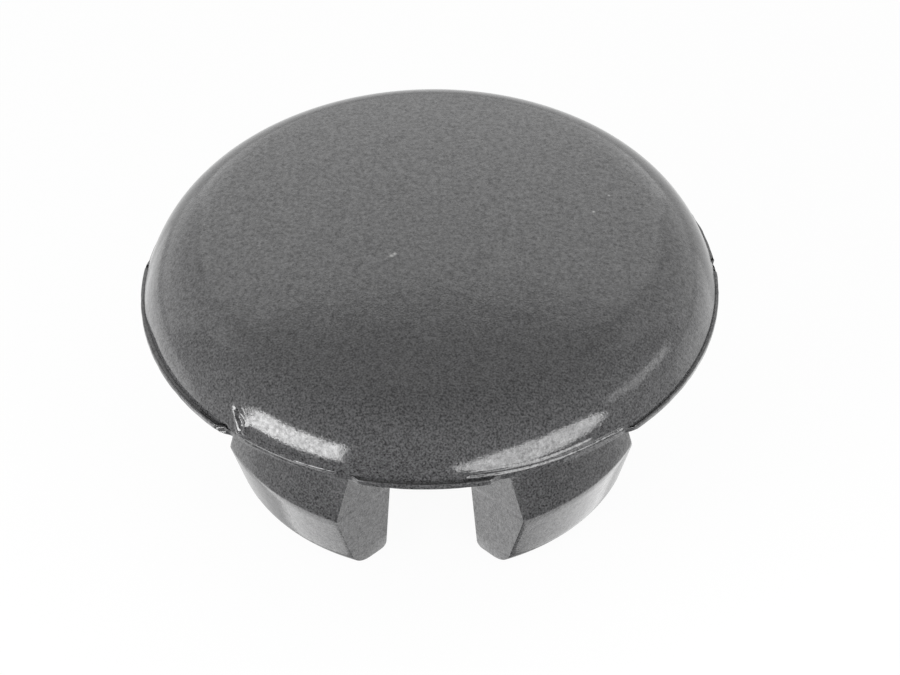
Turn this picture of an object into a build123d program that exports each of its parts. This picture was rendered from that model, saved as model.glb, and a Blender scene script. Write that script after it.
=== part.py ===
"""Snap-in plastic plug for a round hole in a sheet panel.

One moulding: a shallow domed cap, cored out underneath, with four snap legs set on its
diagonals. The cap's flat seat lies on the panel, and the legs spring in through the hole
and catch behind it. Millimetres, +Z up. The origin is the centre of the seat, so the cap
stands above Z 0 and the legs hang below it.
"""

from build123d import *
from math import cos, radians, sin, tan
import os

# Cap
cap_diameter = 26.0  # over the lip
cap_height = 3.8  # seat to the top of the dome
cap_wall = 1.5  # over the flat end of the core
shoulder_radius = 3.4  # round between the dome and the foot of the rim
rim_lean = 8.0  # degrees that the foot of the rim leans in, so that the cavity lets go of it
lip_width = 0.24  # how far the parting-line lip stands out of the rim
lip_height = 0.28

# Snap legs: the section that they share
leg_length = 9.2  # seat to the lowest point
neck_diameter = 18.2  # upright stretch that stands in the panel's hole
neck_length = 3.2
barb_diameter = 20.0  # widest point, which catches behind the panel
barb_depth = 5.7  # seat to the barb's edge
barb_round = 0.12
tip_diameter = 17.9  # where the lead-in would meet the flat of the tip
tip_outer_round = 0.8
tip_inner_bevel = 0.25

# Snap legs: their plan
leg_count = 4
leg_width = 7.0  # between a leg's two parallel end faces

# Hollow between the legs, which runs on up into the cap as its core
hollow_diameter = 13.0  # at the seat
hollow_draft = 5.0  # degrees, wider towards the tips so that the core pin draws out
core_bevel = 0.4

# Round where each leg springs from the seat
root_round = 0.3

# Worked out from the sizes above
cap_radius = cap_diameter / 2
rim_radius = cap_radius - lip_width
neck_radius = neck_diameter / 2
barb_radius = barb_diameter / 2
tip_radius = tip_diameter / 2
core_top = cap_height - cap_wall

# The shoulder's arc springs from the lip at the rim's lean. The dome's arc is level at the
# top and tangent to the shoulder's, and that sets its radius.
shoulder_reach = rim_radius - shoulder_radius * cos(radians(rim_lean))
shoulder_base = lip_height - shoulder_radius * sin(radians(rim_lean))
shoulder_rise = cap_height - shoulder_base
dome_radius = (shoulder_reach**2 + shoulder_rise**2 - shoulder_radius**2) / (
    2 * (shoulder_rise - shoulder_radius)
)
dome_centre = cap_height - dome_radius

# The two arcs meet on the line through both centres
meeting_share = dome_radius / (dome_radius - shoulder_radius)
dome_edge_radius = shoulder_reach * meeting_share
dome_edge_height = dome_centre + (shoulder_base - dome_centre) * meeting_share


def hollow_radius(height):
    """Radius of the drafted hollow at a height above the seat."""
    return hollow_diameter / 2 - height * tan(radians(hollow_draft))


with BuildPart() as hole_plug:
    # The legs' outer section, turned solid: neck, flare, barb, lead-in and rounded tip
    with BuildSketch(Plane.XZ) as leg_section:
        with BuildLine():
            Polyline(
                (0, 0),
                (neck_radius, 0),
                (neck_radius, -neck_length),
                (barb_radius, -barb_depth),
                (tip_radius, -leg_length),
                (0, -leg_length),
                close=True,
            )
        make_face()
        lowest_corners = leg_section.vertices().group_by(Axis.Y)[0]
        fillet(lowest_corners.sort_by(Axis.X)[-1], radius=tip_outer_round)
        fillet(leg_section.vertices().sort_by(Axis.X)[-1], radius=barb_round)
    revolve(axis=Axis.Z)

    # Parallel-sided arms on the diagonals are all that is kept of it
    with BuildSketch(Plane.XY.offset(-leg_length)):
        with PolarLocations(barb_radius / 2, leg_count, start_angle=180 / leg_count):
            Rectangle(barb_radius, leg_width)
    extrude(amount=leg_length, mode=Mode.INTERSECT)

    # Cap: dome, shoulder, lip and flat seat, turned as a solid button on top of the legs
    with BuildSketch(Plane.XZ):
        with BuildLine():
            dome = RadiusArc(
                (0, cap_height),
                (dome_edge_radius, dome_edge_height),
                dome_radius,
            )
            shoulder = RadiusArc(dome @ 1, (rim_radius, lip_height), shoulder_radius)
            Polyline(
                shoulder @ 1,
                (cap_radius, lip_height),
                (cap_radius, 0),
                (0, 0),
                dome @ 0,
            )
        make_face()
    revolve(axis=Axis.Z)

    # Hollow: bevels the tips' inner corners, parts the legs, and runs up into the cap, where
    # it ends as the core pin does, flat with a bevelled edge
    with BuildSketch(Plane.XZ) as hollow_section:
        with BuildLine():
            Polyline(
                (0, -leg_length - tip_inner_bevel),
                (tip_radius, -leg_length - tip_inner_bevel),
                (tip_radius, -leg_length),
                (hollow_radius(-leg_length), -leg_length),
                (hollow_radius(core_top), core_top),
                (0, core_top),
                close=True,
            )
        make_face()
        mouth_corners = hollow_section.vertices().group_by(Axis.Y)[1]
        chamfer(mouth_corners.sort_by(Axis.X)[0], length=tip_inner_bevel)
        ceiling_corners = hollow_section.vertices().group_by(Axis.Y)[-1]
        chamfer(ceiling_corners.sort_by(Axis.X)[-1], length=core_bevel)
    revolve(axis=Axis.Z, mode=Mode.SUBTRACT)

    # Rounds in the corner between the seat and the legs' outer sides
    seat = hole_plug.faces().filter_by(Axis.Z).sort_by(SortBy.AREA)[-1]
    hollow_wall = hole_plug.faces().filter_by(GeomType.CONE).sort_by(SortBy.AREA)[-1]
    root_edges = seat.inner_wires()[0].edges() - hollow_wall.edges()
    fillet(root_edges, radius=root_round)

hole_plug.part.label = "hole_plug"

os.makedirs("parts", exist_ok=True)
export_step(hole_plug.part, "parts/hole_plug.step")
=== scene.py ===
"""Snap-in hole plug: looks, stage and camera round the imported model."""

from math import asin, atan2, cos, degrees, exp, pi, radians, sin, sqrt, tan

import bmesh
import bpy
from mathutils import Matrix, Vector, noise


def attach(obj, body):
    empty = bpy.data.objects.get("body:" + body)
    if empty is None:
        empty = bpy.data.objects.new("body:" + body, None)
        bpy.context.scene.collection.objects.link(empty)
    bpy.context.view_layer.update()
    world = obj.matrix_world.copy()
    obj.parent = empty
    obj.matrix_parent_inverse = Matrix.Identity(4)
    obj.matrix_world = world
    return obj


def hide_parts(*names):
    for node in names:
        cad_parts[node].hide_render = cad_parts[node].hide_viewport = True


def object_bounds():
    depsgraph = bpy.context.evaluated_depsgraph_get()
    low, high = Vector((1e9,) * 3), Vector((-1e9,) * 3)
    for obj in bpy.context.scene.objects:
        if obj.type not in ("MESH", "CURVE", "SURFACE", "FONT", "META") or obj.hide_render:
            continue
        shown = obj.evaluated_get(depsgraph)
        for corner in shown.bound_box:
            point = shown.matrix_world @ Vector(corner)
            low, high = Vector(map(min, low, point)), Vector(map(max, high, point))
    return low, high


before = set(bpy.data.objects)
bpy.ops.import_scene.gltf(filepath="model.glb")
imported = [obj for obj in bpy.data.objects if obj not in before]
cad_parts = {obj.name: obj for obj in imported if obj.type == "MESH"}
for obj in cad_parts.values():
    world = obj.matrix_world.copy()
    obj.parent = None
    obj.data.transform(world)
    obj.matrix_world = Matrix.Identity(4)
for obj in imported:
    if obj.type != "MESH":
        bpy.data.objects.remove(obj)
cad_low, cad_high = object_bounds()
MM = 0.001


# ---- Camera: a long lens, looking down on the plug from the front.
# It aims a little in front of the seat's centre, so that the plug stands left of and above
# the middle, and it is rolled slightly.

CAMERA_DISTANCE = 182 * MM
CAMERA_AZIMUTH = 1.35  # degrees, from the front towards +X
CAMERA_ELEVATION = 41.0
CAMERA_ROLL = -1.03
CAMERA_AIM = Vector((0.90, -1.39, -1.62)) * MM

camera_data = bpy.data.cameras.new("camera")
camera_data.sensor_width = 36
camera_data.lens = 161.5
camera_data.clip_start = 0.01
camera = bpy.data.objects.new("camera", camera_data)
bpy.context.scene.collection.objects.link(camera)
bpy.context.scene.camera = camera


def outward(azimuth, elevation):
    """Unit vector from the origin. Azimuth 0 is the front, -Y, and 90 is +X; in degrees."""
    turn, rise = radians(azimuth), radians(elevation)
    return Vector((sin(turn) * cos(rise), -cos(turn) * cos(rise), sin(rise)))


camera.location = outward(CAMERA_AZIMUTH, CAMERA_ELEVATION) * CAMERA_DISTANCE
look = (CAMERA_AIM - camera.location).to_track_quat("-Z", "Y")
roll = Matrix.Rotation(radians(CAMERA_ROLL), 3, "Z")
camera.rotation_euler = (look.to_matrix() @ roll).to_euler()


# ---- Plug: one injection moulding in black nylon, cap and snap legs in one piece.
# The cap is a turned form with a thin lip of flash at the parting line. The four legs are cut
# parallel-sided from a flared and tapered ring. The stub of the gate is left on the rim.

# Cap, in millimetres
SEAT_RADIUS = 13.0  # over the lip
CAP_HEIGHT = 3.8
SHOULDER_RADIUS = 3.4
RIM_LEAN = 8.0  # degrees that the rim's foot leans in
LIP_WIDTH = 0.24
LIP_HEIGHT = 0.28
LIP_ROUND = 0.06
LIP_GROOVE = 0.1  # depth of the crease between lip and rim
# Stretches of the lip that are left, in degrees from the front towards +X, and their share of
# its full width
FLASH = ((-97, -43, 1.0), (-14, 13, 1.0), (43, 94.5, 1.0), (97, 137, 0.9))
WIPED = 0.03  # share of the width that is left elsewhere
# Stretches where the rim bulges out over the lip: from, to, and by how much at its foot
BULGES = ((-180, -78, 0.12), (40, 180, 0.12))
BULGE_FADE = 0.4  # height over which a bulge fades
# The rim is marked where the gate was broken off, and by fine steps of the mould's parting.
# Patches that are cut finer for it: from, to, and up to which height
PATCHES = ((-51, -36, 1.7), (-36, -13, 0.7), (6, 44, 0.95))
MARKED_FROM = 11.5  # radius outside which the rim is shaped
# Marks: out of the surface, half width, and the line that each follows in degrees and height
MARKS = (
    (0.04, 0.07, ((-42.9, 1.40), (-41.1, 0.92), (-40.0, 0.40))),
    (0.05, 0.08, ((-41.0, 1.45), (-38.5, 1.06), (-38.6, 0.55))),
    (-0.14, 0.08, ((-41.2, 1.30), (-39.4, 0.70))),
    (-0.16, 0.12, ((-44.7, 0.15), (-43.5, 0.25))),
    (0.015, 0.06, ((-37, 0.34), (-28, 0.28), (-18, 0.22))),
    (-0.015, 0.05, ((-38, 0.22), (-30, 0.17), (-23, 0.12))),
    (0.03, 0.05, ((9, 0.55), (22, 0.50), (34, 0.62))),
    (-0.03, 0.05, ((8, 0.43), (24, 0.38), (41, 0.42))),
)
CORE_TOP = 2.3
CORE_BEVEL = 0.4
ROUND_THE_AXIS = 300  # steps

# Legs, in millimetres
LEG_LENGTH = 9.2
LEG_WIDTH = 7.0
NECK_RADIUS = 9.1
NECK_LENGTH = 3.2
BARB_RADIUS = 10.0
BARB_DEPTH = 5.7
BARB_ROUND = 0.12
TIP_RADIUS = 8.95  # where the lead-in would meet the flat of the tip
TIP_OUTER_ROUND = 1.0
TIP_INNER_ROUND = 0.3
HOLLOW_RADIUS = 6.5
HOLLOW_DRAFT = 5.0  # degrees
ROOT_ROUND = 0.3
LEG_EDGE_ROUND = 0.13

plug = bmesh.new()


def draw_to(vert, radius, height):
    """Carries the turning profile on in a straight line, and returns its new end."""
    made = bmesh.ops.extrude_vert_indiv(plug, verts=[vert])["verts"][0]
    made.co = (radius, 0, height)
    return made


def swing(vert, centre, angle, steps):
    """Carries the profile on along an arc, anticlockwise in degrees, and returns its new end."""
    made = bmesh.ops.spin(
        plug, geom=[vert], cent=(centre[0], 0, centre[1]), axis=(0, -1, 0),
        angle=radians(angle), steps=steps, use_duplicate=False,
    )["geom_last"]
    return made[0]


def hollow_radius(height):
    return HOLLOW_RADIUS - height * tan(radians(HOLLOW_DRAFT))


# Dome and shoulder meet tangent to each other, on the line through both arcs' centres
rim_radius = SEAT_RADIUS - LIP_WIDTH
shoulder_reach = rim_radius - SHOULDER_RADIUS * cos(radians(RIM_LEAN))
shoulder_base = LIP_HEIGHT - SHOULDER_RADIUS * sin(radians(RIM_LEAN))
shoulder_rise = CAP_HEIGHT - shoulder_base
dome_radius = (shoulder_reach**2 + shoulder_rise**2 - SHOULDER_RADIUS**2) / (
    2 * (shoulder_rise - SHOULDER_RADIUS)
)
dome_centre = CAP_HEIGHT - dome_radius
dome_angle = degrees(asin(shoulder_reach / (dome_radius - SHOULDER_RADIUS)))

# Profile of the cap, from the core's ceiling, over the seat, lip and shoulder to the top
root_reach = NECK_RADIUS + ROOT_ROUND
end = plug.verts.new((0, 0, CORE_TOP))
end = draw_to(end, hollow_radius(CORE_TOP) - CORE_BEVEL, CORE_TOP)
end = draw_to(end, hollow_radius(CORE_TOP - CORE_BEVEL), CORE_TOP - CORE_BEVEL)
end = draw_to(end, HOLLOW_RADIUS, 0)
end = draw_to(end, root_reach, 0)
end = draw_to(end, rim_radius - 0.25, 0)
end = draw_to(end, SEAT_RADIUS - LIP_ROUND, 0)
end = swing(end, (SEAT_RADIUS - LIP_ROUND, LIP_ROUND), 90, 4)
end = draw_to(end, SEAT_RADIUS, LIP_HEIGHT - LIP_ROUND)
end = swing(end, (SEAT_RADIUS - LIP_ROUND, LIP_HEIGHT - LIP_ROUND), 90, 4)
end = draw_to(end, rim_radius + 0.03, LIP_HEIGHT - LIP_GROOVE)
end = draw_to(end, rim_radius, LIP_HEIGHT)
end = swing(end, (shoulder_reach, shoulder_base), 90 - RIM_LEAN - dome_angle, 30)
end = swing(end, (0, dome_centre), dome_angle, 18)
bmesh.ops.spin(
    plug, geom=plug.verts[:] + plug.edges[:], cent=(0, 0, 0), axis=(0, 0, 1),
    angle=2 * pi, steps=ROUND_THE_AXIS, use_merge=True, use_duplicate=False,
)
bmesh.ops.remove_doubles(plug, verts=plug.verts, dist=1e-4)
bmesh.ops.recalc_face_normals(plug, faces=plug.faces)

# The lip is flash squeezed out at the parting line. It was wiped off over the front legs and
# behind, and what is left is a little ragged.


def lip_left(turn):
    """How much of the lip's width is left; turn is in degrees from the front towards +X."""
    width = WIPED
    for start, stop, share in FLASH:
        inside = min(turn - start, stop - turn)
        width = max(width, share * min(max(0.5 + inside / 1.5, 0), 1))
    slow = noise.noise(Vector((turn * 0.35, 3.1, 0)))
    ragged = slow + 0.6 * noise.noise(Vector((turn * 1.3, 0, 5.7)))
    return min(max(width * (1 + 0.1 * ragged) + 0.02 * ragged, 0.02), 1.0)


for v in plug.verts:
    reach = v.co.xy.length
    if reach > rim_radius + 1e-4:
        turn = degrees(atan2(v.co.x, -v.co.y))
        share = lip_left(turn)
        v.co.xy *= (rim_radius + (reach - rim_radius) * share) / reach
        if v.co.z > LIP_HEIGHT / 2 and reach < rim_radius + 0.04:
            v.co.z = LIP_HEIGHT - LIP_GROOVE * share

# The gate was broken off the rim, and left two torn ridges with a groove between them, a pit
# and a bump in the lip. The rim is cut finer there first.


def around(turn, height):
    """A place on the unrolled rim: length along it from the front towards +X, and height."""
    return Vector((radians(turn) * rim_radius, height))


def far_from(spot, line):
    """Distance of a spot of the unrolled rim from a line through several places."""
    nearest = 99
    for (turn, height), (next_turn, next_height) in zip(line, line[1:]):
        start, stop = around(turn, height), around(next_turn, next_height)
        share = min(max((spot - start).dot(stop - start) / (stop - start).length_squared, 0), 1)
        nearest = min(nearest, (spot - start.lerp(stop, share)).length)
    return nearest


def rim_turn(v):
    return degrees(atan2(v.co.x, -v.co.y))


def in_patch(v, start, stop, top):
    return (
        start < rim_turn(v) < stop and 0 <= v.co.z < top and v.co.xy.length > MARKED_FROM
    )


for start, stop, top in PATCHES:
    patch = [f for f in plug.faces if all(in_patch(v, start, stop, top) for v in f.verts)]
    bmesh.ops.subdivide_edges(
        plug, edges=list({e for f in patch for e in f.edges}), cuts=3, use_grid_fill=True,
    )
for v in plug.verts:
    turn, reach = rim_turn(v), v.co.xy.length
    if reach < MARKED_FROM or v.co.z < 1e-3:
        continue
    push = 0
    if v.co.z > LIP_HEIGHT - 1e-3 and reach < SEAT_RADIUS - 0.1:
        for start, stop, out in BULGES:
            share = min(max(0.5 + min(turn - start, stop - turn) / 8, 0), 1)
            push += out * share * exp(-(v.co.z - LIP_HEIGHT) / BULGE_FADE)
    if any(start < turn < stop for start, stop, top in PATCHES):
        spot = around(turn, v.co.z)
        ragged = 1 + 0.6 * noise.noise(Vector((spot.x * 4, spot.y * 4, 1.7)))
        push += ragged * sum(
            out * exp(-((far_from(spot, line) / half) ** 2)) for out, half, line in MARKS
        )
    v.co.xy *= 1 + push / reach

# The legs' footprints are marked out on the seat, each as wide as its root rounds reach
half_root = LEG_WIDTH / 2 + ROOT_ROUND


def seat_band():
    """The seat's faces between the hollow and the roots' outer reach."""
    flat = [f for f in plug.faces if all(abs(v.co.z) < 1e-4 for v in f.verts)]
    return [f for f in flat if f.calc_center_median().xy.length < root_reach]


for azimuth in (45, 135):
    across = Vector((cos(radians(azimuth)), sin(radians(azimuth)), 0))
    for side in (-half_root, half_root):
        band = seat_band()
        parts = set(band) | {e for f in band for e in f.edges} | {v for f in band for v in f.verts}
        bmesh.ops.bisect_plane(
            plug, geom=list(parts), dist=1e-5, plane_co=across * side, plane_no=across,
        )

legs = [Vector((cos(radians(a)), sin(radians(a)), 0)) for a in (45, 135, 225, 315)]


def over_leg(point, along):
    """Whether a point of the seat lies within the footprint of the leg on that diagonal."""
    return point.dot(along) > 0 and abs(point.cross(along).z) < half_root - 1e-3


gaps = []
for f in seat_band():
    if not any(over_leg(f.calc_center_median(), along) for along in legs):
        gaps.append(f)
bmesh.ops.dissolve_faces(plug, faces=gaps, use_verts=True)
for along in legs:
    footprint = [f for f in seat_band() if over_leg(f.calc_center_median(), along)]
    bmesh.ops.dissolve_faces(plug, faces=footprint, use_verts=True)

# Steps of the turning that end close to a footprint's corner would leave slivers there
CROWDED = 0.2
crowded = set()
for v in plug.verts:
    if abs(v.co.z) > 1e-4 or v.co.xy.length > root_reach + 1e-3:
        continue
    for along in legs:
        offset = half_root - abs(v.co.cross(along).z)
        if v.co.dot(along) > 0 and 1e-3 < offset < CROWDED:
            for e in v.link_edges:
                far = e.other_vert(v)
                if abs(far.co.z) > 1e-4 or far.co.xy.length > root_reach + 1e-3:
                    crowded.add(e)
bmesh.ops.dissolve_edges(plug, edges=list(crowded), use_verts=True)

# Section of a leg, from the seat to the tip: depth, outer radius, half width
lean = atan2(BARB_RADIUS - TIP_RADIUS, LEG_LENGTH - BARB_DEPTH)
tip_tangent = TIP_OUTER_ROUND * tan(pi / 4 - lean / 2)
tip_centre = TIP_RADIUS - tip_tangent
flare = (BARB_RADIUS - NECK_RADIUS) / (BARB_DEPTH - NECK_LENGTH)


def outer_radius(depth):
    """The leg's outer surface at a depth below the seat, without the rounds at its ends."""
    if depth < NECK_LENGTH:
        return NECK_RADIUS
    if depth < BARB_DEPTH:
        return NECK_RADIUS + (depth - NECK_LENGTH) * flare
    return BARB_RADIUS - (depth - BARB_DEPTH) * tan(lean)


section = []
for step in range(7):
    turn = radians(15 * step)
    out = ROOT_ROUND * (1 - sin(turn))
    section.append((ROOT_ROUND * (1 - cos(turn)), NECK_RADIUS + out, LEG_WIDTH / 2 + out))
for depth in (0.6, 1.8, 2.9, NECK_LENGTH, 3.5, 4.3, 5.2):
    section.append((depth, outer_radius(depth), LEG_WIDTH / 2))
for reach in (-1, -0.5, 0, 0.5, 1):
    depth = BARB_DEPTH + reach * BARB_ROUND
    inset = BARB_ROUND * 0.14 * (1 - reach**2)  # rounds the barb's blunt corner
    section.append((depth, outer_radius(depth) - inset, LEG_WIDTH / 2))
for depth in (6.2, 7.2, 8.1):
    section.append((depth, outer_radius(depth), LEG_WIDTH / 2))
for step in range(13):
    turn = lean + (pi / 2 - lean) * step / 12
    section.append((
        LEG_LENGTH - TIP_OUTER_ROUND + TIP_OUTER_ROUND * sin(turn),
        tip_centre + TIP_OUTER_ROUND * cos(turn),
        LEG_WIDTH / 2,
    ))


def inner_radius(depth):
    """The leg's inner surface, drafted and then rounded into the tip."""
    start = LEG_LENGTH - TIP_INNER_ROUND
    if depth <= start:
        return hollow_radius(-depth)
    middle = hollow_radius(-start) + TIP_INNER_ROUND
    return middle - sqrt(max(TIP_INNER_ROUND**2 - (depth - start) ** 2, 0))


corner_edges = []
for along in legs:
    sideways = Vector((-along.y, along.x, 0))
    foot = [f for f in seat_band() if over_leg(f.calc_center_median(), along)][0]
    rim = list(foot.edges)
    bmesh.ops.delete(plug, geom=[foot], context="FACES_ONLY")
    corners = []
    last_outer, last_half = root_reach, half_root
    for depth, outer, half in section[1:]:
        made = bmesh.ops.extrude_edge_only(plug, edges=rim)["geom"]
        verts = [g for g in made if isinstance(g, bmesh.types.BMVert)]
        fresh = set(verts)
        rim = [
            g for g in made
            if isinstance(g, bmesh.types.BMEdge) and set(g.verts) <= fresh
        ]
        for v in verts:
            beside = v.co.dot(sideways)
            on_outside = v.co.xy.length > (HOLLOW_RADIUS + NECK_RADIUS) / 2
            radius = outer if on_outside else inner_radius(depth)
            if abs(abs(beside) - last_half) < 1e-3:
                corners.append(v)
            beside *= half / last_half
            v.co = along * sqrt(radius**2 - beside**2) + sideways * beside - Vector((0, 0, depth))
        last_outer, last_half = outer, half
    bmesh.ops.contextual_create(plug, geom=rim)
    known = set(corners)
    for v in corners:
        for e in v.link_edges:
            far = e.other_vert(v)
            steep = abs(far.co.z - v.co.z) > 1e-4
            under = abs(v.co.z + LEG_LENGTH) < 1e-4 and abs(far.co.z + LEG_LENGTH) < 1e-4
            same_side = (far.co - v.co).dot(sideways) ** 2 < 0.25
            if same_side and far in known and (steep or under):
                corner_edges.append(e)
bmesh.ops.bevel(
    plug, geom=list(set(corner_edges)), offset=LEG_EDGE_ROUND, offset_type="OFFSET", segments=3,
    profile=0.5, affect="EDGES", clamp_overlap=True, material=-1,
)
bmesh.ops.recalc_face_normals(plug, faces=plug.faces)
bmesh.ops.scale(plug, vec=(MM, MM, MM), verts=plug.verts)
for f in plug.faces:
    f.smooth = True

plug_mesh = bpy.data.meshes.new("moulded_plug")
plug.to_mesh(plug_mesh)
plug.free()
moulded_plug = bpy.data.objects.new("moulded_plug", plug_mesh)
bpy.context.scene.collection.objects.link(moulded_plug)
weights = moulded_plug.modifiers.new("even shading", "WEIGHTED_NORMAL")
weights.keep_sharp = True
weights.weight = 50

# Nylon 66, black, injection moulded against a finely eroded cavity. It gives the eye a dark
# satin skin with a soft gloss, faint cloudiness and a fine grain.
nylon = bpy.data.materials.new("moulded_nylon_black")
nylon.use_nodes = True
nodes, links = nylon.node_tree.nodes, nylon.node_tree.links
nodes.clear()


def ink(code):
    """A colour written as sRGB hex, turned linear."""
    channels = [int(code[i:i + 2], 16) / 255 for i in (1, 3, 5)]
    linear = [c / 12.92 if c < 0.04045 else ((c + 0.055) / 1.055) ** 2.4 for c in channels]
    return (*linear, 1)


def add(kind, settings=None, **inputs):
    """Adds a node: settings are its properties; inputs are values or other nodes' sockets.

    An input is named with _ for a space, or as _ and its number where names repeat.
    """
    node = nodes.new("ShaderNode" + kind)
    for name, value in (settings or {}).items():
        setattr(node, name, value)
    for name, value in inputs.items():
        numbered = name[1:].isdigit()
        socket = node.inputs[int(name[1:]) if numbered else name.replace("_", " ")]
        if isinstance(value, bpy.types.NodeSocket):
            links.new(value, socket)
        else:
            socket.default_value = value
    return node


def spots(size, detail, roughness=0.5):
    """Noise on the plug's own coordinates, with spots of a size in millimetres."""
    return add(
        "TexNoise", Vector=place, Scale=1 / (size * MM), Detail=detail, Roughness=roughness,
    ).outputs["Fac"]


def spread(fac, low, high):
    """Noise stretched over its usual range, so that it runs between two values."""
    return add(
        "MapRange", Value=fac, From_Min=0.3, From_Max=0.7, To_Min=low, To_Max=high,
    ).outputs["Result"]


place = add("TexCoord").outputs["Object"]
# Nicks: places in millimetres, and reach
NICKS = (
    ((-1.60, -1.98, 3.78), 0.13), ((-1.47, -1.86, 3.78), 0.12), ((7.38, 1.32, 3.42), 0.10),
    ((8.09, 2.59, 3.33), 0.08), ((11.67, -5.13, 0.30), 0.12), ((10.82, -5.32, 2.08), 0.08),
)
GRAIN = 0.09  # mm; the real texture is finer, and this is as fine as shows
grain = spots(GRAIN, 1.0, 0.6)
cloud = spots(2.5, 3.0)
tone = spread(grain, 0.0, 1.0)
colour = add(
    "Mix", {"data_type": "RGBA"}, Factor=tone, _6=ink("#1f1f20"), _7=ink("#535354"),
).outputs[2]
# Small nicks and dust on the skin show pale
marks = None
for spot, size in NICKS:
    away = add("VectorMath", {"operation": "DISTANCE"}, _0=place, _1=Vector(spot) * MM)
    near = add(
        "MapRange", Value=away.outputs["Value"], From_Min=size * MM, From_Max=0, To_Max=0.8,
    ).outputs["Result"]
    if marks is not None:
        near = add("Math", {"operation": "MAXIMUM"}, _0=marks, _1=near).outputs["Value"]
    marks = near
colour = add("Mix", {"data_type": "RGBA"}, Factor=marks, _6=colour, _7=ink("#c8c8c6")).outputs[2]
rough = spread(cloud, 0.10, 0.14)
gloss = spread(spots(0.2, 2.0, 0.6), 0.3, 0.7)
waves = add("Bump", Height=spots(1.3, 1.0), Strength=0.5, Distance=0.03 * MM).outputs["Normal"]
bump = add("Bump", Height=grain, Strength=0.2, Distance=0.02 * MM, Normal=waves).outputs["Normal"]
skin = add(
    "BsdfPrincipled", Base_Color=colour, Roughness=rough, IOR=1.53, Specular_IOR_Level=gloss,
    Normal=bump,
)
# Seen very flat, the dome's grain stands in its own way and the skin looks matt there
height = add("SeparateXYZ", Vector=place).outputs["Z"]
on_dome = add("MapRange", Value=height, From_Min=2.9 * MM, From_Max=3.3 * MM).outputs["Result"]
facing = add("LayerWeight", Blend=0.5).outputs["Facing"]
flat = add(
    "MapRange", {"interpolation_type": "SMOOTHSTEP"}, Value=facing,
    From_Min=0.46, From_Max=0.66, To_Max=0.96,
).outputs["Result"]
dulled = add("Math", {"operation": "MULTIPLY"}, _0=flat, _1=on_dome).outputs["Value"]
matt = add("BsdfDiffuse", Color=colour).outputs["BSDF"]
seen = add("MixShader", _0=dulled, _1=skin.outputs["BSDF"], _2=matt)
add("OutputMaterial", Surface=seen.outputs["Shader"])
plug_mesh.materials.append(nylon)

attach(moulded_plug, "root")
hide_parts("hole_plug")


# ---- Floor: a plain white table top, only large enough to take the plug's soft shadow.
# The camera sees it almost as white as the backdrop, and reflections pass it by. It lies just
# under the tips.

FLOOR_RADIUS = 0.35
floor_build = bmesh.new()
bmesh.ops.create_circle(
    floor_build, cap_ends=True, segments=96, radius=FLOOR_RADIUS,
    matrix=Matrix.Translation((0, 0, cad_low.z - 0.02 * MM)),
)
floor_mesh = bpy.data.meshes.new("table_top")
floor_build.to_mesh(floor_mesh)
floor_build.free()
table_top = bpy.data.objects.new("table_top", floor_mesh)
bpy.context.scene.collection.objects.link(table_top)
table_top.visible_glossy = False
table_top.visible_diffuse = False
table_top.visible_shadow = False

paper = bpy.data.materials.new("white_paper_sweep")
paper.use_nodes = True
nodes, links = paper.node_tree.nodes, paper.node_tree.links
nodes.clear()
seen = add("LightPath").outputs["Is Camera Ray"]
matt = add("BsdfDiffuse", Color=ink("#f2f2f2")).outputs["BSDF"]
glow = add("Emission", Color=ink("#ffffff"), Strength=1.0).outputs["Emission"]
share = add("Math", {"operation": "MULTIPLY"}, _0=seen, _1=0.95).outputs["Value"]
add("OutputMaterial", Surface=add("MixShader", _0=share, _1=matt, _2=glow).outputs["Shader"])
floor_mesh.materials.append(paper)


# ---- Light: a white studio room, lit walls behind, soft boxes and two cards.
# The two cards stand close in front and draw the two bright strips on the shoulder. Three lit
# walls behind light the dome, boxes and a strip at the sides edge the rim, and two boxes below
# light the legs' lead-ins.

world = bpy.data.worlds.new("white_room")
world.use_nodes = True
bpy.context.scene.world = world
nodes, links = world.node_tree.nodes, world.node_tree.links
nodes.clear()
path = add("LightPath").outputs
# Glossy surfaces see a pale room behind, at the sides and below, and a darker one in front and
# overhead, where the camera and its stand are
toward = add("SeparateXYZ", Vector=add("TexCoord").outputs["Generated"]).outputs
aside = add("Math", {"operation": "ABSOLUTE"}, _0=toward["X"]).outputs["Value"]
behind = add("Math", {"operation": "MULTIPLY_ADD"}, _0=aside, _1=0.9, _2=toward["Y"])
front = add(
    "MapRange", Value=toward["Z"], From_Min=-0.3, From_Max=0.5, To_Min=0.14, To_Max=0.64,
).outputs["Result"]
mirrored = add(
    "MapRange", {"interpolation_type": "SMOOTHSTEP"}, Value=behind.outputs["Value"],
    From_Min=0.0, From_Max=1.0, _3=front, To_Max=1.0,
).outputs["Result"]
glossy = add("Mix", {"data_type": "FLOAT"}, Factor=path["Is Glossy Ray"], A=0.6, B=mirrored)
seen = add(
    "Math", {"operation": "MAXIMUM"}, _0=path["Is Camera Ray"], _1=path["Is Transmission Ray"],
).outputs["Value"]
level = add("Mix", {"data_type": "FLOAT"}, Factor=seen, A=glossy.outputs[0], B=1.0)
room = add("Background", Color=ink("#ffffff"), Strength=level.outputs[0]).outputs["Background"]
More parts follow.
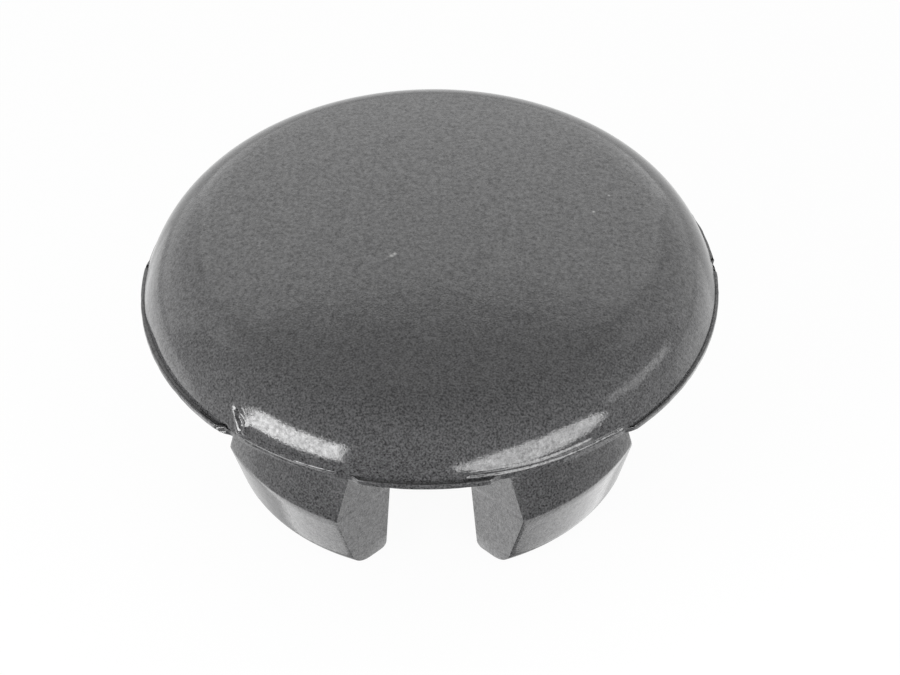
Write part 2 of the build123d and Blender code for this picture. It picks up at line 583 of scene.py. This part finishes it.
add("OutputWorld", Surface=room)


def lamp(name, place, towards, wide, high, brightness, shape="RECTANGLE", roll=0.0):
    """An area lamp, wide and high in metres, turned from its place towards a direction."""
    data = bpy.data.lights.new(name, "AREA")
    data.shape = shape
    data.size = wide
    data.size_y = high
    data.energy = 4 * brightness * wide * high  # so that brightness 1 looks plain white
    box = bpy.data.objects.new(name, data)
    bpy.context.scene.collection.objects.link(box)
    box.location = place
    facing = towards.to_track_quat("-Z", "Y").to_matrix()
    box.rotation_euler = (facing @ Matrix.Rotation(radians(roll), 3, "Z")).to_euler()
    box.visible_camera = False


def card(name, azimuth, away, beside, height, wide, high, brightness, shape, roll):
    """A lit card near the plug, upright and square to a ray from the axis; sizes in millimetres."""
    ray = outward(azimuth, 0)
    place = ray * away + outward(azimuth + 90, 0) * beside + Vector((0, 0, height))
    lamp(name, place * MM, -ray, wide * MM, high * MM, brightness, shape, roll)


def softbox(name, azimuth, elevation, wide, high, brightness, roll=0.0):
    """A soft box half a metre away, wide and high in degrees as the plug sees it."""
    away = 0.5
    place = outward(azimuth, elevation) * away
    lamp(
        name, place, -place, 2 * away * tan(radians(wide / 2)), 2 * away * tan(radians(high / 2)),
        brightness, "RECTANGLE", roll,
    )


card("card_front_left", -50, 63, 5.0, 5.2, 40, 24, 8.9, "RECTANGLE", -3)
card("card_front_right", 36, 38, -2.5, 0.5, 37, 13.5, 4.2, "ELLIPSE", 14)
card("wall_back", 180, 500, 0, 300, 510, 550, 0.8, "RECTANGLE", 0)
card("wall_back_left", -132, 500, 0, 290, 384, 640, 0.45, "RECTANGLE", 0)
card("wall_back_right", 132, 500, 0, 320, 384, 640, 0.38, "RECTANGLE", 0)
softbox("box_left", -122, -23, 50, 25, 0.45)
softbox("box_right", 120, -18, 36, 30, 0.4)
softbox("strip_right", 86, 14, 32, 9, 1.35, roll=-14)
softbox("under_left", -84, -54, 44, 34, 1.0)
softbox("under_right", 98, -54, 60, 34, 0.8)

bpy.context.scene.view_settings.view_transform = "Standard"
